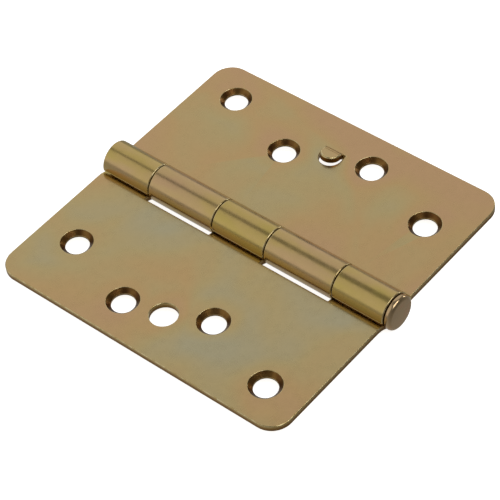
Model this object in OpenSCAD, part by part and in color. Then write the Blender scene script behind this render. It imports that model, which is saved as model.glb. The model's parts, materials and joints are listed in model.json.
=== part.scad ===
// Butt hinge, 4 in by 4 in, with a loose pin and a security tab.
//
// Two pressed steel leaves curl round one pin. They lie open and flat: the frame leaf towards -X,
// with three knuckles, and the door leaf towards +X, with two. Their front faces look up, to +Z.
// The origin is on the pin's axis, halfway along the assembled hinge, and the pin's head is
// towards -Y. Millimetres.

/* [Leaves] */
// Length of each leaf along the pin
leaf_length = 101.6; // [86:0.1:160]
// Distance from the pin's axis to a leaf's free edge
leaf_reach = 50.8; // [42:0.1:90]
// Thickness of the sheet
sheet = 1.9; // [1.4:0.05:2.6]
// Radius of the two free corners
corner_radius = 6.35; // [1:0.05:11]
// Height of the pin's axis above the leaves' front faces
axis_height = 0.8; // [0.5:0.05:1.4]

/* [Knuckles] */
// Length of the middle knuckle
middle_knuckle = 18.8; // [12:0.1:30]
// Length of each knuckle beside the middle one
side_knuckle = 23.9; // [12:0.1:26]
// Gap between neighbouring knuckles
knuckle_gap = 0.25; // [0.1:0.05:1]
// Gap between a knuckle and the edge of the notch that it turns in
notch_clearance = 1.6; // [0.6:0.1:4]
// Distance from the barrel's side to where the leaf starts to dip under it
swage_run = 2.5; // [1.8:0.1:6]
// How far the curl's end passes level, in degrees
curl_overlap = 8; // [0:1:10]

/* [Pin] */
// Diameter of the pin's shank
pin_diameter = 7.3; // [5:0.1:9]
// Gap between the shank and a knuckle's bore, on the radius
pin_clearance = 0.05; // [0.02:0.01:0.1]
// Step from the barrel's side in to the rim of the head
head_step = 0.27; // [0:0.01:1]
// Thickness of the head
head_thickness = 2; // [1:0.1:5]
// Rounding of the head's front rim
head_rounding = 0.7; // [0.2:0.05:1]
// Rounding of the head's back rim
head_back_rounding = 0.25; // [0.05:0.05:0.4]
// Gap under the head
head_gap = 0.2; // [0.1:0.05:1]
// How far the shank's tip stops short of the barrel's end
tip_inset = 0.5; // [0:0.1:3]
// Chamfer of the shank's tip
tip_chamfer = 0.8; // [0.2:0.1:1.5]

/* [Screw holes] */
// Diameter of a screw hole
screw_hole = 7; // [4:0.1:7.6]
// Diameter of a countersink at the front face
countersink = 9.7; // [8:0.1:10.5]
// Depth of a countersink
countersink_depth = 1.35; // [0.8:0.05:1.4]
// Distance from the leaf's ends to the outer holes
end_margin = 12.7; // [8:0.1:20]
// Distance between the two inner holes, along the pin
inner_pitch = 25.4; // [18:0.1:30]
// Distance from the free edge to the far column of holes
edge_margin = 11.3; // [8:0.1:14]
// Distance between the two columns of holes
column_step = 8.7; // [0:0.1:10]

/* [Security tab] */
// Distance from the free edge to the middle of the tab and of the hole that takes it
tab_margin = 13.9; // [10:0.1:17]
// Width of the tab
tab_width = 6.1; // [4:0.1:7.5]
// Distance from the middle of the tab's round nose to its bend
tab_root = 2.3; // [2:0.1:5]
// Length of the steep ramp at the bend
tab_ramp = 1; // [0.6:0.1:1.4]
// Slope of the tab's top past the ramp, in degrees
tab_tilt = 12; // [0:1:15]
// How far the nose reaches into the other leaf when the hinge is closed
tab_engagement = 0.8; // [0.3:0.1:1.6]
// Gap beside the tab, in the window it is cut from
window_side_gap = 0.45; // [0.2:0.05:0.8]
// Gap in front of the tab's nose
window_nose_gap = 0.8; // [0.5:0.05:3]
// Gap round the tab in the frame leaf's hole that takes it
security_clearance = 1.05; // [0.8:0.05:1.5]

/* [Hidden] */
$fn = 96;

// Overshoot of a cutting tool past the face it leaves through
cut = 1;
// The reverse bend is pressed a hair thinner than the sheet, and runs on into the curl and the
// flat, so that the three are one solid.
bend_thinning = 0.01;
bend_overlap = 0.05;

// The hinge's length runs from the head's front to the barrel's far end, so the leaves' middle
// lies half of what the head adds away from the origin.
head_reach = head_gap + head_thickness;
leaf_middle = head_reach / 2;

bore_radius = pin_diameter / 2 + pin_clearance;
barrel_radius = bore_radius + sheet;
notch_edge = barrel_radius + notch_clearance;
swage_start = barrel_radius + swage_run;

// The sheet's middle line: a circle round the pin, the flat leaf, and one reverse bend that
// touches both, which swages the leaf's front almost up to the pin's axis.
curl_middle = bore_radius + sheet / 2;
leaf_depth = axis_height + sheet / 2;
swage_radius = (pow(swage_start, 2) - pow(curl_middle, 2) + pow(leaf_depth, 2))
    / (2 * (curl_middle - leaf_depth));
swage_angle = atan2(leaf_depth + swage_radius, swage_start);
curl_sweep = 360 + curl_overlap - swage_angle;

// Knuckles are numbered from the pin's head, and joints lie between them.
end_knuckle = (leaf_length - middle_knuckle - 2 * side_knuckle) / 2;
joints = [
    -leaf_length / 2,
    -leaf_length / 2 + end_knuckle,
    -middle_knuckle / 2,
    middle_knuckle / 2,
    leaf_length / 2 - end_knuckle,
    leaf_length / 2
];
frame_knuckles = [0, 2, 4];
door_knuckles = [1, 3];

// Holes lie in four rows, and alternate between the two columns.
far_column = leaf_reach - edge_margin;
near_column = far_column - column_step;
outer_row = leaf_length / 2 - end_margin;
inner_row = inner_pitch / 2;
rows = [-outer_row, -inner_row, inner_row, outer_row];
frame_columns = [far_column, near_column, far_column, near_column];
door_columns = [near_column, far_column, near_column, far_column];

// The tab's nose clears the gap between the closed leaves and enters the hole opposite.
tab_column = leaf_reach - tab_margin;
tab_bend = tab_column + tab_root;
tab_radius = tab_width / 2;
tab_nose = tab_column - tab_radius;
nose_height = 2 * axis_height + tab_engagement;
ramp_height = nose_height - (tab_bend - tab_ramp - tab_nose) * tan(tab_tilt);
window_radius = tab_radius + window_side_gap;
window_column = tab_column + window_side_gap - window_nose_gap;
security_hole = tab_width + 2 * security_clearance;

// Half a knuckle gap at a joint, and none at the barrel's two ends
function gap_at(joint) = joint == 0 || joint == len(joints) - 1 ? 0 : knuckle_gap / 2;
function knuckle_start(i) = joints[i] + gap_at(i);
function knuckle_end(i) = joints[i + 1] - gap_at(i + 1);

// Where a leaf's own knuckles leave off, the sheet stays flat up to the notch edge. This is the
// start of the stretch before knuckle number i of the leaf, and its end.
function notch_start(own, i) = i == 0 ? -leaf_length / 2 : knuckle_end(own[i - 1]);
function notch_end(own, i) = i == len(own) ? leaf_length / 2 : knuckle_start(own[i]);

// Bent sheet round the Y axis, from an angle above +X on through a sweep
module sheet_bend(radius, thickness, start, sweep, width) {
    rotate([90, 0, 0])
        rotate([0, 0, start])
            rotate_extrude(angle = sweep)
                translate([radius - thickness / 2, 0])
                    square([thickness, width]);
}

// One knuckle of a leaf that lies towards -X: the curl, and the reverse bend that leads to it
module knuckle(i) {
    width = knuckle_end(i) - knuckle_start(i);
    run_on = asin(bend_overlap / swage_radius);
    translate([0, knuckle_end(i), 0]) {
        sheet_bend(curl_middle, sheet, 180 + swage_angle, curl_sweep, width);
        translate([-swage_start, 0, -leaf_depth - swage_radius])
            sheet_bend(
                swage_radius, sheet - bend_thinning,
                swage_angle - run_on, 90 - swage_angle + 2 * run_on, width
            );
    }
}

// The flat of a leaf, seen from the front: a quarter circle rounds each free corner
module flat_outline(own) {
    inset = leaf_reach - corner_radius;
    half = leaf_length / 2;
    translate([-inset, -half])
        square([inset - swage_start, leaf_length]);
    translate([-leaf_reach, -half + corner_radius])
        square([corner_radius, leaf_length - 2 * corner_radius]);
    for (end = [-1, 1])
        translate([-inset, end * (half - corner_radius)])
            circle(r = corner_radius);
    for (i = [0 : len(own)])
        if (notch_end(own, i) > notch_start(own, i))
            translate([-swage_start - cut, notch_start(own, i)])
                square([swage_start + cut - notch_edge, notch_end(own, i) - notch_start(own, i)]);
}

// A countersunk screw hole, its mouth at z = 0
module screw_hole_cut() {
    translate([0, 0, -sheet - cut])
        cylinder(d = screw_hole, h = sheet + 2 * cut);
    translate([0, 0, -countersink_depth])
        cylinder(d1 = screw_hole, d2 = countersink, h = countersink_depth);
    cylinder(d = countersink, h = cut);
}

// A leaf that lies towards -X, its middle at y = 0: its own knuckles and its holes' columns
module leaf_sheet(own, columns) {
    difference() {
        union() {
            translate([0, 0, -axis_height - sheet])
                linear_extrude(sheet)
                    flat_outline(own);
            for (i = own)
                knuckle(i);
        }
        for (i = [0 : len(rows) - 1])
            translate([-columns[i], rows[i], -axis_height])
                screw_hole_cut();
    }
}

// The window's outline round the tab, from its round end out to the bend
module window_outline() {
    translate([window_column, 0])
        circle(r = window_radius);
    translate([window_column, -window_radius])
        square([tab_bend - window_column, 2 * window_radius]);
}

// The tab seen from the front, with its nose towards the pin
module tab_outline() {
    translate([tab_column, 0])
        circle(r = tab_radius);
    translate([tab_column, -tab_radius])
        square([tab_bend + cut - tab_column, tab_width]);
}

// The tab seen from its side, with the leaf's front face at 0
module tab_profile() {
    top = [
        [tab_bend + cut, 0],
        [tab_bend, 0],
        [tab_bend - tab_ramp, ramp_height],
        [tab_nose - cut, nose_height + cut * tan(tab_tilt)]
    ];
    bottom = [for (i = [len(top) - 1 : -1 : 0]) top[i] - [0, sheet]];
    polygon(concat(top, bottom));
}

module security_tab() {
    intersection() {
        translate([0, 0, -sheet - cut])
            linear_extrude(nose_height + sheet + 2 * cut)
                tab_outline();
        translate([0, tab_width, 0])
            rotate([90, 0, 0])
                linear_extrude(2 * tab_width)
                    tab_profile();
    }
}

module frame_leaf() {
    color("#a8925f")
        translate([0, leaf_middle, 0])
            difference() {
                leaf_sheet(frame_knuckles, frame_columns);
                translate([-tab_column, 0, -axis_height - sheet - cut])
                    cylinder(d = security_hole, h = sheet + 2 * cut);
            }
}

module door_leaf() {
    color("#b0945f")
        translate([0, leaf_middle, 0]) {
            difference() {
                mirror([1, 0, 0])
                    leaf_sheet(door_knuckles, door_columns);
                translate([0, 0, -axis_height - sheet - cut])
                    linear_extrude(sheet + 2 * cut)
                        window_outline();
            }
            translate([0, 0, -axis_height])
                security_tab();
        }
}

// Half of the head's section, its flat back at 0
module head_section() {
    radius = barrel_radius - head_step;
    square([radius - head_rounding, head_thickness]);
    translate([0, head_back_rounding])
        square([radius, head_thickness - head_rounding - head_back_rounding]);
    square([radius - head_back_rounding, head_thickness - head_rounding]);
    translate([radius - head_rounding, head_thickness - head_rounding])
        circle(r = head_rounding);
    translate([radius - head_back_rounding, head_back_rounding])
        circle(r = head_back_rounding);
}

module hinge_pin() {
    shank = leaf_length + head_gap - tip_inset;
    color("#83755b")
        translate([0, leaf_middle - leaf_length / 2 - head_gap, 0])
            rotate([90, 0, 0]) {
                rotate_extrude()
                    head_section();
                translate([0, 0, tip_chamfer - shank])
                    cylinder(d = pin_diameter, h = shank - tip_chamfer + head_thickness / 2);
                translate([0, 0, -shank])
                    cylinder(d1 = pin_diameter - 2 * tip_chamfer, d2 = pin_diameter, h = tip_chamfer);
            }
}

frame_leaf();
door_leaf();
hinge_pin();
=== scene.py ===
# Butt hinge, 4 in by 4 in: two pressed steel leaves rolled round a headed pin, all three plated
# with yellow zinc. Metres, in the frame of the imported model: the pin lies along Y with its head
# towards -Y, the frame leaf towards -X and the door leaf towards +X, and the fronts look up.

import json
from math import asin, atan2, cos, hypot, pi, radians, sin, tan

import bmesh
import bpy
from mathutils import Matrix, Vector


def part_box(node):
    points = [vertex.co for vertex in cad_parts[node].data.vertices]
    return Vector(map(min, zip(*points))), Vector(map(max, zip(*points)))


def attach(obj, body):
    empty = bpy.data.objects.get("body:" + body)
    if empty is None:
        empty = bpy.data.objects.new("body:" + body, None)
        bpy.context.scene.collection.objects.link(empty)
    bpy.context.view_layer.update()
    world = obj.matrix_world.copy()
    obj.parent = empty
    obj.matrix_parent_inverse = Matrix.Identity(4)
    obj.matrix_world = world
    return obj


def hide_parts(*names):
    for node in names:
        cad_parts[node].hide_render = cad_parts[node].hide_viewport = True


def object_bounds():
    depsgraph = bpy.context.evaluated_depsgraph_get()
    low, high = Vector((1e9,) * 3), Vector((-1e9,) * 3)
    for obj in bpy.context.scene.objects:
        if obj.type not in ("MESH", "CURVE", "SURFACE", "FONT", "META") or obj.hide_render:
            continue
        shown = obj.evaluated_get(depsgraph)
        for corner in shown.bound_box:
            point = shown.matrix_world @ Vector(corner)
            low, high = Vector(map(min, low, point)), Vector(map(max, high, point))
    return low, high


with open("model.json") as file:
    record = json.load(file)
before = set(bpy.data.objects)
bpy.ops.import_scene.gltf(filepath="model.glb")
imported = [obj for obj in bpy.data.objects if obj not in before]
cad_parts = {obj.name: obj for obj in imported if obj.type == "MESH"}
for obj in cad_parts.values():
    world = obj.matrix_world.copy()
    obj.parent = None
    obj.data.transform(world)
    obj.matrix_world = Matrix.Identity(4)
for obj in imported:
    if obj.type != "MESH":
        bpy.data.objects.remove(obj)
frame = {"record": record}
cad_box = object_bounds()
MM = 0.001

# ---------------------------------------------------------------------------------------------
# Camera: a long lens, from the front corner of the frame leaf, looking down at the open hinge.

camera_azimuth = radians(-44.92)
camera_elevation = radians(47.31)
camera_roll = radians(-7.37)
camera_distance = 602.1 * MM
aim = Vector((-4.96, -3.06, -0.8)) * MM

back = Vector((
    sin(camera_azimuth) * cos(camera_elevation),
    -cos(camera_azimuth) * cos(camera_elevation),
    sin(camera_elevation),
))
level_right = Vector((0, 0, 1)).cross(back).normalized()
level_up = back.cross(level_right)
right = cos(camera_roll) * level_right + sin(camera_roll) * level_up
up = cos(camera_roll) * level_up - sin(camera_roll) * level_right

bpy.ops.object.camera_add()
camera = bpy.context.object
camera.name = "camera"
turn = Matrix((right, up, back)).transposed().to_4x4()
camera.matrix_world = Matrix.Translation(aim + camera_distance * back) @ turn
camera.data.sensor_width = 36
camera.data.lens = 155.8
camera.data.clip_start = 10 * MM
camera.data.clip_end = 20
bpy.context.scene.camera = camera
bpy.context.scene.view_settings.view_transform = "Standard"

# ---------------------------------------------------------------------------------------------
# Studio: a plain white floor, lit evenly from below like a light table, that the barrel rests
# on. Two large soft boxes stand behind the hinge, and three small ones above and beside it. The
# room is palest low at the back and dimmest in front, so the metal has something dark to reflect.


def to_linear(code):
    """An sRGB colour such as "#c8a060" as linear red, green, blue and alpha 1"""
    channels = [int(code[i : i + 2], 16) / 255 for i in (1, 3, 5)]
    return [c / 12.92 if c < 0.04045 else ((c + 0.055) / 1.055) ** 2.4 for c in channels] + [1]


def add_node(tree, kind, inputs=(), stops=(), **settings):
    """One new node: its inputs by name or number, each a value, a socket to link or a node whose
    first output is linked, and its settings. A colour ramp's stops are pairs of place and colour."""
    node = tree.nodes.new(kind)
    for name, value in settings.items():
        setattr(node, name, value)
    for name, value in dict(inputs).items():
        if isinstance(value, bpy.types.Node):
            value = value.outputs[0]
        if isinstance(value, bpy.types.NodeSocket):
            tree.links.new(value, node.inputs[name])
        else:
            node.inputs[name].default_value = value
    for i, (place, color) in enumerate(stops):
        elements = node.color_ramp.elements
        stop = elements[i] if i < len(elements) else elements.new(place)
        stop.position = place
        stop.color = to_linear(color)
    return node


def new_material(name):
    """A material with nothing but its output, its node tree, and that output node"""
    material = bpy.data.materials.new(name)
    material.use_nodes = True
    material.node_tree.nodes.clear()
    return material, material.node_tree, material.node_tree.nodes.new("ShaderNodeOutputMaterial")


world = bpy.data.worlds.new("studio")
world.use_nodes = True
background = world.node_tree.nodes["Background"]
background.inputs["Color"].default_value = to_linear("#ffffff")
toward_light = add_node(
    world.node_tree,
    "ShaderNodeVectorMath",
    {0: add_node(world.node_tree, "ShaderNodeTexCoord").outputs["Generated"], 1: (-0.2, 0.6, -0.5)},
    operation="DOT_PRODUCT",
)
wall_light = add_node(
    world.node_tree,
    "ShaderNodeMapRange",
    {
        "Value": toward_light.outputs["Value"],
        "From Min": -1, "From Max": 1, "To Min": 0.08, "To Max": 0.52,
    },
)
world.node_tree.links.new(wall_light.outputs["Result"], background.inputs["Strength"])
bpy.context.scene.world = world

bpy.ops.mesh.primitive_plane_add(size=8, location=(0, 0, cad_box[0].z))
floor = bpy.context.object
floor.name = "floor"
paper, tree, paper_output = new_material("matt_white_paper")
paper_shader = add_node(
    tree,
    "ShaderNodeBsdfPrincipled",
    {
        "Base Color": to_linear("#f6f6f6"),
        "Roughness": 0.9,
        "Specular IOR Level": 0.1,
        "Emission Color": to_linear("#ffffff"),
        "Emission Strength": 0.86,
    },
)
tree.links.new(paper_shader.outputs["BSDF"], paper_output.inputs["Surface"])
floor.data.materials.append(paper)
floor.visible_glossy = False


def soft_box(name, azimuth, elevation, distance, size, radiance):
    """A square area light of even radiance that faces the hinge. Azimuth 0 is towards +Y."""
    a, e = radians(azimuth), radians(elevation)
    place = distance * Vector((sin(a) * cos(e), cos(a) * cos(e), sin(e)))
    bpy.ops.object.light_add(type="AREA", location=place)
    light = bpy.context.object
    light.name = name
    light.rotation_euler = place.to_track_quat("Z", "Y").to_euler()
    light.data.shape = "SQUARE"
    light.data.size = size
    light.data.energy = radiance * pi * size**2
    light.visible_camera = False


soft_box("back_left_box", -50, 36, 1.6, 1.75, 0.44)
soft_box("back_right_box", 50, 35, 1.6, 1.65, 0.48)
soft_box("right_box", 98, 8, 1.6, 0.4, 3)
soft_box("top_box", -170, 61, 1.6, 0.75, 3)
soft_box("head_side_box", 146, 56, 1.6, 0.5, 4)

# ---------------------------------------------------------------------------------------------
# Leaves: mild steel sheet, sheared to outline, punched, and rolled at one edge into knuckles.
# Each is shaped as the sheet's middle surface, thickened, punched, and then its sheared edges
# are rounded as the press leaves them.

sheet = 1.9 * MM
corner_radius = 6.35 * MM
swage_run = 2.5 * MM
notch_clearance = 1.6 * MM
knuckle_gap = 0.25 * MM
middle_knuckle = 18.8 * MM
side_knuckle = 23.9 * MM
curl_overlap = radians(8)
corner_segments = 12
lip_steps = 2
swage_steps = 9
curl_steps = 88
hair = 0.01 * MM

leaf_low, leaf_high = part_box("frame_leaf")
barrel_radius = leaf_high.x
leaf_reach = -leaf_low.x
leaf_length = leaf_high.y - leaf_low.y
leaf_middle = (leaf_high.y + leaf_low.y) / 2
mounts = {mount["name"]: mount for mount in frame["record"]["mounts"]}
screw_holes = {"frame": [], "door": []}
for name, mount in mounts.items():
    if mount["kind"] == "bolt_pattern":
        x, y, _ = mount["pos_m"]
        for step in (-0.5, 0.5):
            place = (x, y + step * mount["dims"]["spacing_y_mm"] * MM)
            screw_holes[name.split("_")[0]].append(place)
leaf_back = mounts["frame_back"]["pos_m"][2]
leaf_front = leaf_back + sheet

# The section of the rolled edge: a circle round the pin and one reverse bend that meets the flat
curl_radius = barrel_radius - sheet / 2
sheet_depth = -(leaf_back + leaf_front) / 2
swage_start = barrel_radius + swage_run
swage_radius = (swage_start**2 - curl_radius**2 + sheet_depth**2) / (2 * (curl_radius - sheet_depth))
swage_angle = atan2(sheet_depth + swage_radius, swage_start)

end_knuckle = (leaf_length - middle_knuckle - 2 * side_knuckle) / 2
joint_lines = [
    -leaf_length / 2,
    -leaf_length / 2 + end_knuckle,
    -middle_knuckle / 2,
    middle_knuckle / 2,
    leaf_length / 2 - end_knuckle,
    leaf_length / 2,
]


def knuckle_sides(i):
    """Where knuckle number i starts and ends along the pin, counted from the head"""
    start = joint_lines[i] + (knuckle_gap / 2 if i > 0 else 0)
    end = joint_lines[i + 1] - (knuckle_gap / 2 if i < 4 else 0)
    return leaf_middle + start, leaf_middle + end


def select(piece, kind, test):
    """In edit mode, selects just the vertices, edges or faces that pass the test at every corner
    and at their middle"""
    bpy.ops.mesh.select_mode(type=kind)
    bpy.ops.mesh.select_all(action="DESELECT")
    shape = bmesh.from_edit_mesh(piece.data)
    for part in {"VERT": shape.verts, "EDGE": shape.edges, "FACE": shape.faces}[kind]:
        places = [part.co] if kind == "VERT" else [corner.co for corner in part.verts]
        places.append(sum(places, Vector()) / len(places))
        if all(test(place) for place in places):
            part.select_set(True)
    bmesh.update_edit_mesh(piece.data)


def start_piece(name):
    """Names the primitive just added, and leaves it selected alone, in edit mode"""
    piece = bpy.context.object
    piece.name = name
    piece.data.name = name
    bpy.ops.object.mode_set(mode="EDIT")
    return piece


def select_only(piece):
    """Makes the piece the active object and the only one selected"""
    bpy.ops.object.select_all(action="DESELECT")
    bpy.context.view_layer.objects.active = piece
    piece.select_set(True)


def apply_modifier(piece, kind, **settings):
    """Adds a modifier to the piece and applies it at once"""
    select_only(piece)
    modifier = piece.modifiers.new(kind.lower(), kind)
    for setting, value in settings.items():
        setattr(modifier, setting, value)
    bpy.ops.object.modifier_apply(modifier=modifier.name)


def near(a, b):
    """Whether two places along an axis are the same but for rounding"""
    return abs(a - b) < hair


def rolled_sheet(name, own):
    """The middle surface of a leaf that lies towards -X and owns those knuckles"""
    bpy.ops.object.select_all(action="DESELECT")
    bpy.ops.mesh.primitive_plane_add(size=1)
    piece = start_piece(name)
    bpy.ops.transform.resize(value=(leaf_reach - swage_start, leaf_length, 1))
    bpy.ops.transform.translate(value=(-(leaf_reach + swage_start) / 2, leaf_middle, -sheet_depth))
    select(piece, "VERT", lambda p: near(p.x, -leaf_reach))
    bpy.ops.mesh.bevel(offset=corner_radius, segments=corner_segments, affect="VERTICES")

    # The inner edge is divided at the knuckles' sides, all but those at the leaf's ends
    knuckles = [knuckle_sides(i) for i in own]
    leaf_ends = (leaf_middle - leaf_length / 2, leaf_middle + leaf_length / 2)
    sides = [y for knuckle in knuckles for y in knuckle if not any(near(y, end) for end in leaf_ends)]
    select(piece, "EDGE", lambda p: near(p.x, -swage_start))
    bpy.ops.mesh.subdivide(number_cuts=len(sides))
    shape = bmesh.from_edit_mesh(piece.data)
    inner = sorted((v for v in shape.verts if near(v.co.x, -swage_start)), key=lambda v: v.co.y)
    for vertex, y in zip(inner[1:-1], sides):
        vertex.co.y = y
    bmesh.update_edit_mesh(piece.data)

    # The whole edge starts to dip into the reverse bend. Past the edge of the notches only the
    # knuckles go on, and are then rolled round the pin. Spin turns the left-handed way.
    select(piece, "EDGE", lambda p: near(p.x, -swage_start))
    bend_center = (-swage_start, 0, -sheet_depth - swage_radius)
    lip_angle = asin((swage_run - notch_clearance) / swage_radius)
    bpy.ops.mesh.spin(steps=lip_steps, angle=lip_angle, center=bend_center, axis=(0, -1, 0))

    def in_knuckle(p):
        in_width = any(start - hair < p.y < end + hair for start, end in knuckles)
        return p.x > -barrel_radius - notch_clearance - hair and in_width

    select(piece, "EDGE", in_knuckle)
    bpy.ops.mesh.spin(
        steps=swage_steps, angle=pi / 2 - swage_angle - lip_angle,
        center=bend_center, axis=(0, -1, 0),
    )
    bpy.ops.mesh.spin(
        steps=curl_steps, angle=2 * pi + curl_overlap - swage_angle,
        center=(0, 0, 0), axis=(0, 1, 0),
    )
    bpy.ops.object.mode_set(mode="OBJECT")
    return piece


# Punches: the screw holes with their countersinks, the plain hole in the frame leaf, and the
# window in the door leaf. Each is a solid that is cut from the sheet.

overshoot = 1 * MM
hole_segments = 72
hole_radius = mounts["frame_near_screws"]["dims"]["hole_r_mm"] * MM
countersink_radius = 4.85 * MM
countersink_depth = 1.35 * MM
security_hole_radius = 4.1 * MM
tab_column = leaf_reach - 13.9 * MM
tab_bend = tab_column + 2.3 * MM
tab_radius = 3.05 * MM
window_side_gap = 0.45 * MM
window_nose_gap = 0.8 * MM
window_radius = tab_radius + window_side_gap
window_middle = tab_column + window_side_gap - window_nose_gap

# Places in a leaf's list of materials, past the plain plate, which is number 0
sheared_edge, countersunk_face, rounded_rim = 1, 2, 3


def own_place(piece):
    """Moves the piece's place from its object into its mesh"""
    select_only(piece)
    bpy.ops.object.transform_apply(location=True, rotation=True, scale=True)


def paint_faces(piece, slot, test):
    """Gives that material slot to the faces whose every corner passes the test"""
    for face in piece.data.polygons:
        if all(test(piece.data.vertices[i].co) for i in face.vertices):
            face.material_index = slot


def screw_punch(x, y):
    """A countersink and the hole below it"""
    bpy.ops.object.select_all(action="DESELECT")
    bpy.ops.mesh.primitive_cylinder_add(
        vertices=hole_segments, radius=countersink_radius, depth=overshoot
    )
    punch = start_piece("screw_punch")
    bpy.ops.transform.translate(value=(x, y, leaf_front + overshoot / 2))
    select(punch, "FACE", lambda p: near(p.z, leaf_front))
    bpy.ops.mesh.extrude_region_move(TRANSFORM_OT_translate={"value": (0, 0, -countersink_depth)})
    shrink = hole_radius / countersink_radius
    bpy.ops.transform.resize(value=(shrink, shrink, 1), center_override=(x, y, 0))
    bpy.ops.mesh.extrude_region_move(
        TRANSFORM_OT_translate={"value": (0, 0, countersink_depth - sheet - overshoot)}
    )
    bpy.ops.object.mode_set(mode="OBJECT")
    own_place(punch)
    paint_faces(punch, sheared_edge, lambda p: p.z < leaf_front + hair)
    paint_faces(punch, countersunk_face, lambda p: leaf_front - countersink_depth - hair < p.z)
    return punch


def plain_punch(x, y):
    """The straight hole that takes the tab when the hinge is closed"""
    bpy.ops.object.select_all(action="DESELECT")
    bpy.ops.mesh.primitive_cylinder_add(
        vertices=hole_segments, radius=security_hole_radius, depth=sheet + 2 * overshoot,
        location=(x, y, (leaf_front + leaf_back) / 2),
    )
    punch = bpy.context.object
    own_place(punch)
    paint_faces(punch, sheared_edge, lambda p: True)
    return punch


def tongue(name, middle, radius, end):
    """In edit mode: a flat tongue on the door leaf, its round nose towards the pin"""
    bpy.ops.object.select_all(action="DESELECT")
    bpy.ops.mesh.primitive_circle_add(vertices=hole_segments, radius=radius, fill_type="NGON")
    piece = start_piece(name)
    bpy.ops.transform.translate(value=(middle, leaf_middle, leaf_front))
    bpy.ops.mesh.bisect(plane_co=(middle, 0, 0), plane_no=(1, 0, 0), clear_outer=True)
    select(piece, "EDGE", lambda p: near(p.x, middle))
    bpy.ops.mesh.extrude_region_move(TRANSFORM_OT_translate={"value": (end - middle, 0, 0)})
    return piece


def window_punch():
    """The tab's outline with its clearance, cut straight through the sheet"""
    punch = tongue("window_punch", window_middle, window_radius, tab_bend)
    bpy.ops.mesh.select_all(action="SELECT")
    bpy.ops.transform.translate(value=(0, 0, overshoot))
    bpy.ops.mesh.extrude_region_move(
        TRANSFORM_OT_translate={"value": (0, 0, -sheet - 2 * overshoot)}
    )
    bpy.ops.mesh.select_all(action="SELECT")
    bpy.ops.mesh.normals_make_consistent(inside=False)
    bpy.ops.object.mode_set(mode="OBJECT")
    paint_faces(punch, sheared_edge, lambda p: True)
    return punch


def combine(piece, other, operation):
    """Cuts the other piece from this one, or joins them, and removes the other"""
    apply_modifier(piece, "BOOLEAN", object=other, operation=operation, solver="EXACT")
    bpy.data.objects.remove(other)


# Rounding: shearing draws the sheet over its top edge, and the plating softens the rest. The
# tab's rim is the roundest, and the bevel's weights are shares of it.

drawn_edge = 0.26 * MM
knuckle_rim = 0.34 * MM
back_edge = 0.15 * MM
fine_edge = 0.08 * MM
tab_rim = 0.45 * MM
rounding_segments = 4
sharp_angle = radians(25)


def edge_radius(middle):
    """How round the press leaves a leaf's sharp edge, by the place of the edge's middle"""
    from_pin = hypot(middle.x, middle.z)
    if from_pin < barrel_radius - sheet + MM / 10:
        return fine_edge
    if abs(middle.x) < barrel_radius + MM:
        return knuckle_rim
    for x, y in screw_holes["frame"] + screw_holes["door"]:
        if hypot(middle.x - x, middle.y - y) < countersink_radius + MM / 2:
            return fine_edge
    if middle.z < leaf_back + MM / 10:
        return back_edge
    if middle.z > leaf_front + MM:
        return tab_rim
    return drawn_edge


def round_edges(piece):
    """Rounds a leaf's sharp edges, each by its own radius, and shades it smooth"""
    shape = bmesh.new()
    shape.from_mesh(piece.data)
    widths = shape.edges.layers.float.new("bevel_weight_edge")
    for edge in shape.edges:
        if edge.calc_face_angle(0) > sharp_angle:
            middle = (edge.verts[0].co + edge.verts[1].co) / 2
            edge[widths] = edge_radius(middle) / tab_rim
    shape.to_mesh(piece.data)
    shape.free()
    select_only(piece)
    bpy.ops.object.shade_smooth_by_angle(angle=sharp_angle)
    apply_modifier(
        piece, "BEVEL", limit_method="WEIGHT", width=tab_rim, segments=rounding_segments,
        use_clamp_overlap=False, harden_normals=True, material=rounded_rim,
    )


# Yellow zinc plate: electroplated zinc on satin cold-rolled sheet, under a yellow chromate film
# a few hundred nanometres thick. The metal shines softly, and the film's changing thickness tints
# it in clouds some 30 mm wide, from grey-green through olive to pinkish tan. The film is thickest
# at the free edges and round the holes, where the plating current gathers. The barrel's rolling
# has left it brighter, with shallow dents, and the film there is yellower.
edge_film_reach = 15 * MM
hole_film_reach = 11 * MM
plate, tree, plate_output = new_material("yellow_zinc_plate")
place = add_node(tree, "ShaderNodeTexCoord").outputs["Object"]
axes = add_node(tree, "ShaderNodeSeparateXYZ", {"Vector": place})
from_axis = add_node(tree, "ShaderNodeMath", {0: axes.outputs["X"]}, operation="ABSOLUTE")
from_middle = add_node(
    tree, "ShaderNodeMath", {0: axes.outputs["Y"], 1: leaf_middle}, operation="SUBTRACT"
)
from_middle = add_node(tree, "ShaderNodeMath", {0: from_middle}, operation="ABSOLUTE")
at_free_edge = add_node(
    tree,
    "ShaderNodeMapRange",
    {"Value": from_axis, "From Min": leaf_reach - edge_film_reach, "From Max": leaf_reach},
    interpolation_type="SMOOTHSTEP",
)
at_end = add_node(
    tree,
    "ShaderNodeMapRange",
    {
        "Value": from_middle,
        "From Min": leaf_length / 2 - edge_film_reach, "From Max": leaf_length / 2,
    },
    interpolation_type="SMOOTHSTEP",
)
at_edge = add_node(tree, "ShaderNodeMath", {0: at_free_edge, 1: at_end}, operation="MAXIMUM")
to_hole = add_node(
    tree, "ShaderNodeVectorMath", {0: place, 1: (-tab_column, leaf_middle, leaf_front)},
    operation="DISTANCE",
).outputs["Value"]
for x, y in screw_holes["frame"] + screw_holes["door"]:
    distance = add_node(
        tree, "ShaderNodeVectorMath", {0: place, 1: (x, y, leaf_front)}, operation="DISTANCE"
    ).outputs["Value"]
    to_hole = add_node(tree, "ShaderNodeMath", {0: to_hole, 1: distance}, operation="MINIMUM")
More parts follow.
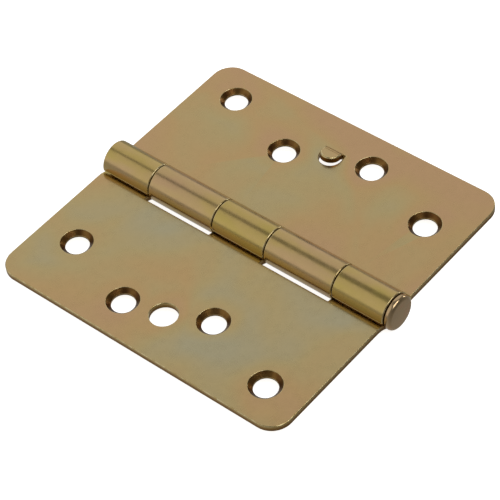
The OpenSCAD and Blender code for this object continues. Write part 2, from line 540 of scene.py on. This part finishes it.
at_hole = add_node(
    tree,
    "ShaderNodeMapRange",
    {
        "Value": to_hole,
        "From Min": 4 * MM, "From Max": hole_film_reach, "To Min": 1, "To Max": 0,
    },
    interpolation_type="SMOOTHSTEP",
)
bath_side = add_node(
    tree, "ShaderNodeAttribute", attribute_name="bath_side"
).outputs["Fac"]
clouds = add_node(
    tree,
    "ShaderNodeTexNoise",
    {"Vector": place, "Scale": 1 / (30 * MM), "Detail": 2, "Roughness": 0.45, "Distortion": 0.4},
)
thickness = add_node(
    tree, "ShaderNodeMath", {0: at_edge, 1: 0.15, 2: clouds}, operation="MULTIPLY_ADD"
)
thickness = add_node(
    tree, "ShaderNodeMath", {0: at_hole, 1: 0.16, 2: thickness}, operation="MULTIPLY_ADD"
)
thickness = add_node(
    tree, "ShaderNodeMath", {0: bath_side, 1: 0.16, 2: thickness}, operation="MULTIPLY_ADD"
)
flat_film = add_node(
    tree,
    "ShaderNodeValToRGB",
    {"Fac": thickness},
    [(0.38, "#b4aa88"), (0.54, "#bda979"), (0.68, "#c3a473"), (0.86, "#c4a077")],
)
rolled_clouds = add_node(
    tree,
    "ShaderNodeTexNoise",
    {
        "Vector": add_node(tree, "ShaderNodeMapping", {"Vector": place, "Scale": (1, 0.3, 1)}),
        "Scale": 1 / (5 * MM),
        "Detail": 2,
    },
)
rolled_thickness = add_node(
    tree, "ShaderNodeMath", {0: bath_side, 1: 0.2, 2: rolled_clouds}, operation="MULTIPLY_ADD"
)
rolled_film = add_node(
    tree,
    "ShaderNodeValToRGB",
    {"Fac": rolled_thickness},
    [(0.35, "#bba55f"), (0.55, "#bfa56a"), (0.7, "#bfa373"), (0.9, "#c0a077")],
)
on_barrel = add_node(
    tree,
    "ShaderNodeMapRange",
    {
        "Value": from_axis,
        "From Min": barrel_radius, "From Max": swage_start, "To Min": 1, "To Max": 0,
    },
    interpolation_type="SMOOTHSTEP",
)
film = add_node(
    tree,
    "ShaderNodeMix",
    {"Factor": on_barrel, "A": flat_film, "B": rolled_film},
    data_type="RGBA",
)
mottle = add_node(
    tree, "ShaderNodeTexNoise", {"Vector": place, "Scale": 1 / (2.2 * MM), "Detail": 3}
)
satin = add_node(
    tree,
    "ShaderNodeMapRange",
    {"Value": mottle, "From Min": 0.3, "From Max": 0.7, "To Min": 0.21, "To Max": 0.29},
)
satin = add_node(
    tree, "ShaderNodeMath", {0: on_barrel, 1: -0.02, 2: satin}, operation="MULTIPLY_ADD"
)

# The surface in millimetres: long shallow ripples of the sheet, small dents on the barrel, and
# the fine matt of the rolled steel, drawn at 0.5 mm so that it shows
ripples = add_node(
    tree, "ShaderNodeTexNoise", {"Vector": place, "Scale": 1 / (9 * MM), "Detail": 1}
)
dents = add_node(tree, "ShaderNodeMath", {0: on_barrel, 1: mottle}, operation="MULTIPLY")
matt = add_node(
    tree, "ShaderNodeTexNoise", {"Vector": place, "Scale": 1 / (0.5 * MM), "Detail": 2}
)
relief = add_node(tree, "ShaderNodeMath", {0: ripples, 1: 0.05}, operation="MULTIPLY")
relief = add_node(
    tree, "ShaderNodeMath", {0: dents, 1: 0.012, 2: relief}, operation="MULTIPLY_ADD"
)
relief = add_node(
    tree, "ShaderNodeMath", {0: matt, 1: 0.00025, 2: relief}, operation="MULTIPLY_ADD"
)
plate_shader = add_node(
    tree,
    "ShaderNodeBsdfPrincipled",
    {
        "Base Color": film.outputs[2],
        "Roughness": satin,
        "Metallic": 1.0,
        "Normal": add_node(tree, "ShaderNodeBump", {"Height": relief, "Distance": MM}),
    },
)
tree.links.new(plate_shader.outputs["BSDF"], plate_output.inputs["Surface"])

# Sheared edges, plated: the shear burnishes the top third of the sheet and tears the rest, so a
# smooth light band lies over a rougher, browner one, with fine upright streaks in both. The torn
# band's brown is partly the torn steel's own duller colour and partly painted shade. The raised
# tab's own wall stands above the sheet and repeats the torn band, painted darker still: painted
# shade for the shade on that wall.
sheared, tree, sheared_output = new_material("yellow_zinc_on_sheared_edge")
place = add_node(tree, "ShaderNodeTexCoord").outputs["Object"]
upright = (1 / (0.25 * MM), 1 / (0.25 * MM), 1 / (4 * MM))
streaks = add_node(
    tree,
    "ShaderNodeTexNoise",
    {
        "Vector": add_node(tree, "ShaderNodeMapping", {"Vector": place, "Scale": upright}),
        "Scale": 1,
        "Detail": 2,
    },
)
level = add_node(
    tree,
    "ShaderNodeMapRange",
    {
        "Value": add_node(tree, "ShaderNodeSeparateXYZ", {"Vector": place}).outputs["Z"],
        "From Min": leaf_back, "From Max": leaf_front + sheet,
    },
)
level = add_node(
    tree, "ShaderNodeMath", {0: streaks, 1: 0.12, 2: level}, operation="MULTIPLY_ADD"
)
# Painted shade: the browner torn band is partly painted shade, and the darker stops above the sheet
# paint shade on the tab's wall
sheared_film_and_shade = add_node(
    tree,
    "ShaderNodeValToRGB",
    {"Fac": level},
    [
        (0.1, "#8a6634"), (0.34, "#a07c45"), (0.4, "#bb9d62"),
        (0.56, "#bb9d62"), (0.64, "#6e4c22"), (1, "#80592a"),
    ],
)
tearing = add_node(
    tree,
    "ShaderNodeMapRange",
    {"Value": level, "From Min": 0.34, "From Max": 0.4, "To Min": 0.5, "To Max": 0.3},
)
sheared_shader = add_node(
    tree,
    "ShaderNodeBsdfPrincipled",
    {
        "Base Color": sheared_film_and_shade,
        "Roughness": tearing,
        "Metallic": 1.0,
        "Normal": add_node(tree, "ShaderNodeBump", {"Height": streaks, "Distance": 0.02 * MM}),
    },
)
tree.links.new(sheared_shader.outputs["BSDF"], sheared_output.inputs["Surface"])

# Countersinks, plated: cut with a turning tool that leaves fine rings, drawn 0.2 mm apart so that
# they show. Their dark brown is painted shade for the shade and dark reflections in the hollow.
# A wave texture of scale 1 repeats every 2 pi / 20, which sets its scale here.
ring_pitch = 0.2 * MM
turned, tree, turned_output = new_material("yellow_zinc_on_countersink")
place = add_node(tree, "ShaderNodeTexCoord").outputs["Object"]
rings = add_node(
    tree,
    "ShaderNodeTexWave",
    {"Vector": place, "Scale": 2 * pi / (20 * ring_pitch), "Distortion": 0.6},
    bands_direction="Z",
)
deep_clouds = add_node(
    tree, "ShaderNodeTexNoise", {"Vector": place, "Scale": 1 / (3 * MM), "Detail": 2}
)
# Painted shade: the dark brown film stands in for the shade in the countersink's hollow
countersink_shade_film = add_node(
    tree, "ShaderNodeValToRGB", {"Fac": deep_clouds}, [(0.35, "#614020"), (0.65, "#7f5e30")]
)
tool_marks = add_node(tree, "ShaderNodeMapRange", {"Value": rings, "To Min": 0.26, "To Max": 0.36})
turned_shader = add_node(
    tree,
    "ShaderNodeBsdfPrincipled",
    {
        "Base Color": countersink_shade_film,
        "Roughness": tool_marks,
        "Metallic": 1.0,
        "Normal": add_node(tree, "ShaderNodeBump", {"Height": rings, "Distance": 0.004 * MM}),
    },
)
tree.links.new(turned_shader.outputs["BSDF"], turned_output.inputs["Surface"])

# Rounded rims, plated: handling wears the film thin over them, so they are paler, and their
# brighter cream is also a painted highlight that stands in for the glints along the rims.
rim_wear_and_highlight, tree, rim_wear_and_highlight_output = new_material("yellow_zinc_on_rounded_rim")
place = add_node(tree, "ShaderNodeTexCoord").outputs["Object"]
rubs_and_glints = add_node(
    tree, "ShaderNodeTexNoise", {"Vector": place, "Scale": 1 / (1.5 * MM), "Detail": 3}
)
# Painted highlight: the pale cream is partly worn film and partly a painted highlight for the rims'
# glints
rim_wear_and_highlight_film = add_node(
    tree, "ShaderNodeValToRGB", {"Fac": rubs_and_glints}, [(0.35, "#bca36a"), (0.65, "#dcca9a")]
)
polish = add_node(tree, "ShaderNodeMapRange", {"Value": rubs_and_glints, "To Min": 0.34, "To Max": 0.18})
rim_wear_and_highlight_shader = add_node(
    tree,
    "ShaderNodeBsdfPrincipled",
    {
        "Base Color": rim_wear_and_highlight_film,
        "Roughness": polish,
        "Metallic": 1.0,
        "Normal": add_node(tree, "ShaderNodeBump", {"Height": rubs_and_glints, "Distance": 0.01 * MM}),
    },
)
tree.links.new(rim_wear_and_highlight_shader.outputs["BSDF"], rim_wear_and_highlight_output.inputs["Surface"])


def thicken(piece, bath_side):
    """Gives the middle surface the sheet's thickness, its rims sheared edges. The finishes go on
    first, because the modifiers only give faces a finish that is there. The door leaf hung on
    the side of the plating bath, 1 and not 0, where the film grows redder."""
    side = piece.data.attributes.new("bath_side", "FLOAT", "POINT")
    side.data.foreach_set("value", [bath_side] * len(piece.data.vertices))
    for material in (plate, sheared, turned, rim_wear_and_highlight):
        piece.data.materials.append(material)
    apply_modifier(
        piece, "SOLIDIFY", thickness=sheet, offset=0, use_even_offset=True,
        material_offset_rim=sheared_edge,
    )
    bpy.ops.object.mode_set(mode="EDIT")
    bpy.ops.mesh.select_all(action="SELECT")
    bpy.ops.mesh.normals_make_consistent(inside=False)
    bpy.ops.object.mode_set(mode="OBJECT")


frame_plate = rolled_sheet("frame_plate", [0, 2, 4])
thicken(frame_plate, 0.0)
for x, y in screw_holes["frame"]:
    combine(frame_plate, screw_punch(x, y), "DIFFERENCE")
combine(frame_plate, plain_punch(-tab_column, leaf_middle), "DIFFERENCE")
round_edges(frame_plate)
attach(frame_plate, "frame")
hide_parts("frame_leaf")

# ---------------------------------------------------------------------------------------------
# Door leaf: the second leaf, of the same sheet and plate, reaching the other way. Its two knuckles
# fit between the frame leaf's three. The security tab is a tongue of its own sheet, cut free round
# its nose and sides by the window and bent up, so it stays joined at its root.

door_plate = rolled_sheet("door_plate", [1, 3])
bpy.ops.object.mode_set(mode="EDIT")
bpy.ops.mesh.select_all(action="SELECT")
bpy.ops.transform.resize(value=(-1, 1, 1), center_override=(0, 0, 0))
bpy.ops.object.mode_set(mode="OBJECT")
thicken(door_plate, 1.0)
for x, y in screw_holes["door"]:
    combine(door_plate, screw_punch(x, y), "DIFFERENCE")
combine(door_plate, window_punch(), "DIFFERENCE")

tab_ramp = 1 * MM
tab_ramp_cuts = 4
tab_tilt = radians(12)
tab_height = 2.4 * MM

# The tongue runs back into the plate at its root, where it lies just inside the plate's faces
tab_root = 1 * MM
tab_sink = 0.02 * MM

tab = tongue("tab", tab_column, tab_radius, tab_bend + tab_root)
tab_length = tab_bend - tab_column + tab_radius
ramp_height = tab_height - (tab_length - tab_ramp) * tan(tab_tilt)
for cut in range(tab_ramp_cuts + 1):
    bpy.ops.mesh.select_all(action="SELECT")
    cut_place = tab_bend - cut / tab_ramp_cuts * tab_ramp
    bpy.ops.mesh.bisect(plane_co=(cut_place, 0, 0), plane_no=(1, 0, 0))

# It rises up a short ramp, rounded at its top, and then at the tilt
shape = bmesh.from_edit_mesh(tab.data)
for vertex in shape.verts:
    past_bend = max(tab_bend - vertex.co.x, 0)
    ramp_share = min(past_bend / tab_ramp, 1)
    slope = max(past_bend - tab_ramp, 0) * tan(tab_tilt)
    vertex.co.z += ramp_height * sin(ramp_share * pi / 2) + slope - tab_sink
bmesh.update_edit_mesh(tab.data)
bpy.ops.mesh.select_all(action="SELECT")
bpy.ops.mesh.extrude_region_move(
    TRANSFORM_OT_translate={"value": (-sheet * tan(tab_tilt), 0, 2 * tab_sink - sheet)}
)
bpy.ops.mesh.select_all(action="SELECT")
bpy.ops.mesh.normals_make_consistent(inside=False)
bpy.ops.object.mode_set(mode="OBJECT")
for face in tab.data.polygons:
    if abs(face.normal.z) < 0.5:
        face.material_index = sheared_edge
combine(door_plate, tab, "UNION")
round_edges(door_plate)
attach(door_plate, "door")
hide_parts("door_leaf")

# ---------------------------------------------------------------------------------------------
# Hinge pin: drawn steel wire, its head cold-formed in a die and its tip chamfered, plated apart
# from the leaves. It slides in through the knuckles from the head's end and joins the leaves.

pin_radius = 3.65 * MM
pin_segments = 96
head_step = 0.27 * MM
head_radius = barrel_radius - head_step
head_thickness = 2 * MM
head_rim = 1.15 * MM
head_back_rim = 0.45 * MM
tip_chamfer = 0.8 * MM
pin_low, pin_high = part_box("hinge_pin")
shank = pin_high.y - pin_low.y - head_thickness
bpy.ops.object.select_all(action="DESELECT")
bpy.ops.mesh.primitive_cylinder_add(
    vertices=pin_segments, radius=pin_radius, depth=shank,
    location=(0, pin_high.y - shank / 2, 0), rotation=(pi / 2, 0, 0),
)
own_place(bpy.context.object)
pin = start_piece("pin")
under_head = pin_low.y + head_thickness
select(pin, "FACE", lambda p: near(p.y, under_head))
bpy.ops.mesh.extrude_region_move()
bpy.ops.transform.resize(
    value=(head_radius / pin_radius, 1, head_radius / pin_radius), center_override=(0, under_head, 0)
)
bpy.ops.mesh.extrude_region_move(TRANSFORM_OT_translate={"value": (0, -head_thickness, 0)})
select(pin, "EDGE", lambda p: near(p.y, pin_low.y))
bpy.ops.mesh.bevel(offset=head_rim, segments=10)
select(pin, "EDGE", lambda p: near(p.y, under_head) and hypot(p.x, p.z) > head_radius - MM / 10)
bpy.ops.mesh.bevel(offset=head_back_rim, segments=5)
select(pin, "EDGE", lambda p: near(p.y, pin_high.y))
bpy.ops.mesh.bevel(offset=tip_chamfer, segments=1)
bpy.ops.object.mode_set(mode="OBJECT")
bpy.ops.object.shade_smooth_by_angle(angle=sharp_angle)

# The pin's plate: a thinner, greyer film over cold-headed wire. Drawing leaves fine lines along
# the shank, here 0.15 mm wide, and the heading die leaves the head faintly mottled.
pin_zinc, tree, pin_output = new_material("yellow_zinc_on_pin")
place = add_node(tree, "ShaderNodeTexCoord").outputs["Object"]
lengthwise = (1 / (0.15 * MM), 1 / (15 * MM), 1 / (0.15 * MM))
draw_lines = add_node(
    tree,
    "ShaderNodeTexNoise",
    {
        "Vector": add_node(tree, "ShaderNodeMapping", {"Vector": place, "Scale": lengthwise}),
        "Scale": 1,
        "Detail": 2,
    },
)
stains = add_node(
    tree, "ShaderNodeTexNoise", {"Vector": place, "Scale": 1 / (4 * MM), "Detail": 3}
)
pin_film = add_node(
    tree,
    "ShaderNodeValToRGB",
    {"Fac": stains},
    [(0.35, "#bda27c"), (0.5, "#c2a67c"), (0.65, "#c6a078")],
)
sheen = add_node(
    tree,
    "ShaderNodeMapRange",
    {"Value": draw_lines, "From Min": 0.3, "From Max": 0.7, "To Min": 0.16, "To Max": 0.24},
)
pin_shader = add_node(
    tree,
    "ShaderNodeBsdfPrincipled",
    {
        "Base Color": pin_film,
        "Roughness": sheen,
        "Metallic": 1.0,
        "Normal": add_node(tree, "ShaderNodeBump", {"Height": draw_lines, "Distance": 0.002 * MM}),
    },
)
tree.links.new(pin_shader.outputs["BSDF"], pin_output.inputs["Surface"])
pin.data.materials.append(pin_zinc)
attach(pin, "pin")
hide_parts("hinge_pin")
